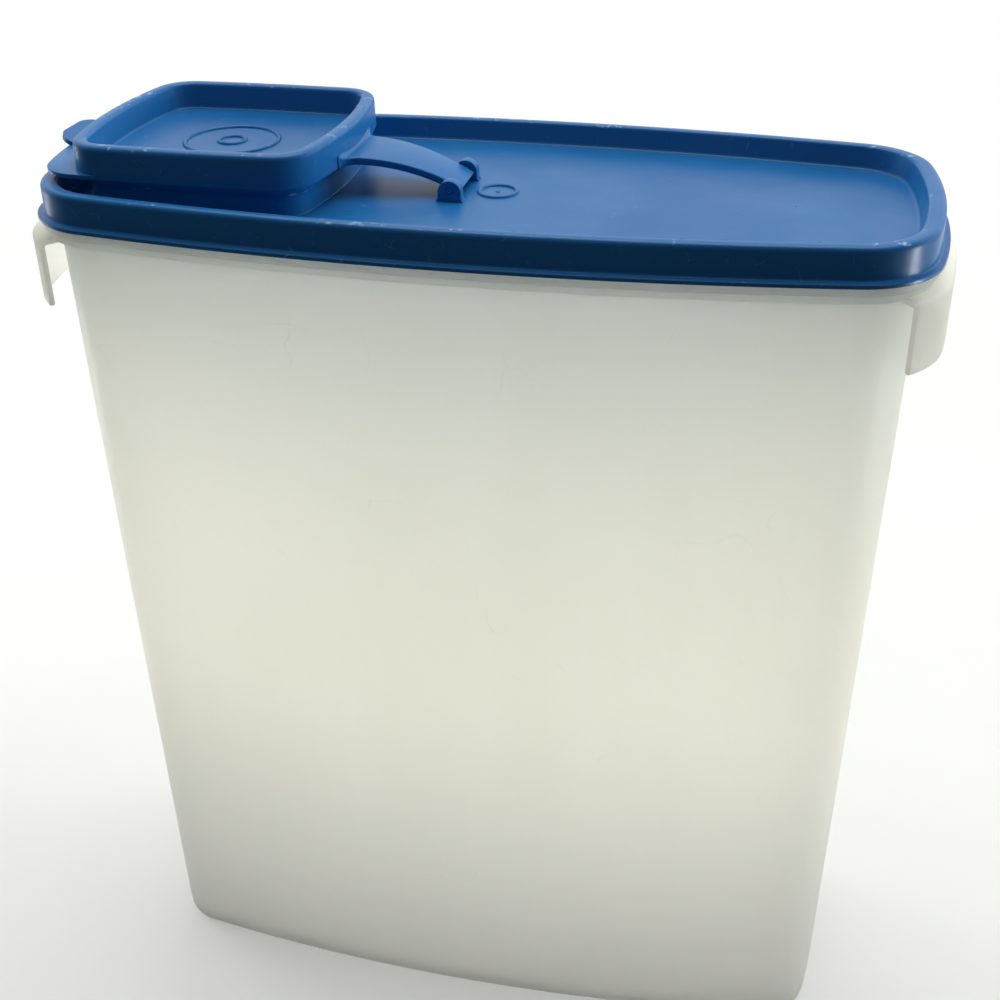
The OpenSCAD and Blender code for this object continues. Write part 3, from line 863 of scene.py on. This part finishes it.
def plate(rows_in, rows_out, low, high):
    """A flat plate between two lines of equally many points, with rounded edges."""
    made = bmesh.new()
    grid = [[made.verts.new((x * MM, y * MM, z * MM)) for x, y in rows]
            for rows in (rows_in, rows_out) for z in (low, high)]
    in_low, in_high, out_low, out_high = grid
    for i in range(len(in_low) - 1):
        for a, b in ((in_high, out_high), (out_high, out_low),
                     (out_low, in_low), (in_low, in_high)):
            made.faces.new((a[i], b[i], b[i + 1], a[i + 1]))
    for i in (0, -1):
        made.faces.new((in_low[i], in_high[i], out_high[i], out_low[i]))
    bmesh.ops.recalc_face_normals(made, faces=made.faces)
    round_edges(made, PLATE_EDGE)
    mesh = bpy.data.meshes.new("plate")
    made.to_mesh(mesh)
    made.free()
    return mesh


def lip_mesh():
    """The free half of the cap's outline, and the same line moved out."""
    limit = CAP_OUTLINE["x"] - CAP_OUTLINE["length"] / 4
    kept = [i for i, p in enumerate(outline(CAP_OUTLINE)) if p[0] < limit]
    outer = outline(CAP_OUTLINE, 0.06)
    inner = outline(CAP_OUTLINE, CAP_SKIRT / 2)
    moved = [(outer[i][0] - TAB_OUT, outer[i][1]) for i in kept]
    return plate([inner[i] for i in kept], moved, CAP_LOW + 0.03, CAP_LOW + TAB_T)


def tongue_mesh():
    """A plate with a rounded tip, tilted up about its line in the middle of the lip."""
    length = TAB_OUT / 2 + TONGUE_OUT
    half = TONGUE_W / 2
    tip = []
    for side, first in ((1, 90), (-1, 180)):
        for t in (math.radians(first + 90 * i / 14) for i in range(15)):
            tip.append((TONGUE_R - length + TONGUE_R * math.cos(t),
                        (half - TONGUE_R) * side + TONGUE_R * math.sin(t)))
    path = [(0.0, half)] + tip + [(0.0, -half)]
    mesh = plate([(0.0, y) for _, y in path], path, 0, TAB_T)
    start = CAP_OUTLINE["x"] - CAP_OUTLINE["length"] / 2 - TAB_OUT / 2
    mesh.transform(Matrix.Translation((start * MM, 0, CAP_LOW * MM))
                   @ Matrix.Rotation(TONGUE_TILT, 4, "Y"))
    return mesh


piece("lift_tab", [lip_mesh(), tongue_mesh()], "flip_cap", blue)

# %% [markdown]
# ## Floor and light
#
# The picture is a bright table with the light above and behind the keeper, so the tops
# are pale, the front skirts are dark, and the milky walls glow. A world that is bright
# behind and dim in front gives that, with one large lamp overhead.
#
# The glow comes through the walls from a wide window behind and a fill beside each end.
# These three leave no highlights, which would spoil the soft blue. Two narrow strips do
# the opposite: they only draw the streaks on the rounded corners.
#
# The floor looks nearly white to the camera, but lends less of that white to the object.
# Part of its white near the object is its own, so that the shadow there stays soft.

# %% Make the floor
FLOOR_SEEN = srgb(210, 211, 208), srgb(218, 219, 217)
FLOOR_LENDS_FRONT, FLOOR_LENDS_BACK = srgb(84, 84, 84), srgb(192, 192, 190)
FLOOR_OWN, WHITE = srgb(223, 224, 221), (1, 1, 1, 1)
NEAR, FAR, OWN_SHARE = 0.15, 0.95, 0.5
HALF_FLOOR = 8


def floor_material():
    """To the camera pale, and white far off. As a source of light, dim in front."""
    s = Shader("studio_floor")
    place = s.nodes.new("ShaderNodeSeparateXYZ")
    s.wire(s.where, place.inputs[0])
    seen = s.mix(s.remap(s.noise(s.where, 3.5, 3), 0.3, 0.7), *FLOOR_SEEN)
    behind = s.remap(place.outputs["Y"], -0.30, 0.15)
    lends = s.mix(behind, FLOOR_LENDS_FRONT, FLOOR_LENDS_BACK)
    eye = s.nodes.new("ShaderNodeLightPath").outputs["Is Camera Ray"]
    s.wire(s.mix(eye, lends, seen), s.surface.inputs["Base Color"])
    s.surface.inputs["Roughness"].default_value = 0.9
    s.surface.inputs["Specular IOR Level"].default_value = 0.1
    reach = s.nodes.new("ShaderNodeVectorMath")
    reach.operation = "LENGTH"
    s.wire(s.where, reach.inputs[0])
    distance = reach.outputs["Value"]
    white = s.nodes.new("ShaderNodeEmission")
    s.wire(s.mix(s.remap(distance, NEAR, FAR), FLOOR_OWN, WHITE), white.inputs["Color"])
    faded = s.nodes.new("ShaderNodeMixShader")
    share = s.remap(distance, NEAR, FAR, OWN_SHARE, 1.0)
    s.wire(s.math("MULTIPLY", eye, share), faded.inputs[0])
    s.wire(s.surface.outputs[0], faded.inputs[1])
    s.wire(white.outputs[0], faded.inputs[2])
    s.wire(faded.outputs[0], s.nodes["Material Output"].inputs["Surface"])
    return s.material


floor_mesh = bpy.data.meshes.new("floor")
floor_mesh.from_pydata([(x * HALF_FLOOR, y * HALF_FLOOR, 0)
                        for x, y in ((-1, -1), (1, -1), (1, 1), (-1, 1))], [], [(0, 1, 2, 3)])
floor_mesh.materials.append(floor_material())
floor = bpy.data.objects.new("floor", floor_mesh)
bpy.context.scene.collection.objects.link(floor)


# %% Light it
def soft_light(name, place, aim, size, watts, spread=180, gloss=True, body=True):
    """An area lamp. Without gloss it leaves no highlights, and without body only highlights."""
    lamp = bpy.data.lights.new(name, "AREA")
    lamp.shape, lamp.size, lamp.size_y, lamp.energy = "RECTANGLE", size[0], size[1], watts
    lamp.spread = math.radians(spread)
    holder = bpy.data.objects.new(name, lamp)
    holder.location = place
    holder.rotation_mode = "QUATERNION"
    holder.rotation_quaternion = (Vector(aim) - Vector(place)).to_track_quat("-Z", "Y")
    holder.visible_camera = False
    holder.visible_glossy, holder.visible_diffuse = gloss, body
    bpy.context.scene.collection.objects.link(holder)


WORLD_FRONT, WORLD_BACK = 0.12, 0.88


def studio_world():
    """White to the camera. For lighting, bright behind the object and dim in front of it."""
    world = bpy.data.worlds.new("studio")
    world.use_nodes = True
    nodes, wire = world.node_tree.nodes, world.node_tree.links.new
    where = nodes.new("ShaderNodeTexCoord")
    split = nodes.new("ShaderNodeSeparateXYZ")
    ramp = nodes.new("ShaderNodeMapRange")
    ramp.interpolation_type = "SMOOTHSTEP"
    for key, value in (("From Min", -0.5), ("From Max", 0.6),
                       ("To Min", WORLD_FRONT), ("To Max", WORLD_BACK)):
        ramp.inputs[key].default_value = value
    eye = nodes.new("ShaderNodeLightPath")
    strength = nodes.new("ShaderNodeMix")
    strength.data_type = "FLOAT"
    strength.inputs[3].default_value = 1.0
    wire(where.outputs["Generated"], split.inputs[0])
    wire(split.outputs["Y"], ramp.inputs["Value"])
    wire(eye.outputs["Is Camera Ray"], strength.inputs[0])
    wire(ramp.outputs["Result"], strength.inputs[2])
    wire(strength.outputs[0], nodes["Background"].inputs["Strength"])
    nodes["Background"].inputs["Color"].default_value = WHITE
    return world


STRIP, STRIP_SPREAD = (0.04, 0.40), 50
WINDOW, FILL = (1.4, 0.3), (0.4, 0.4)
soft_light("overhead", (0.0, 0.25, 1.4), (0, 0, 0.2), (1.2, 0.9), 11)
soft_light("window", (0.0, 1.0, 0.36), (0, 0, 0.2), WINDOW, 9.5, gloss=False)
soft_light("left_fill", (-0.75, 0.30, 0.3), (-0.1, 0, 0.2), FILL, 4.6, gloss=False)
soft_light("right_fill", (0.75, 0.30, 0.3), (0.1, 0, 0.2), FILL, 5.0, gloss=False)
soft_light("left_strip", (-0.46, 0.10, 0.10), (-0.11, -0.03, 0.26), STRIP, 0.028,
           STRIP_SPREAD, body=False)
soft_light("right_strip", (0.50, -0.03, 0.10), (0.11, -0.03, 0.26), STRIP, 0.16,
           STRIP_SPREAD, body=False)
bpy.context.scene.world = studio_world()
bpy.context.scene.view_settings.view_transform = "Standard"
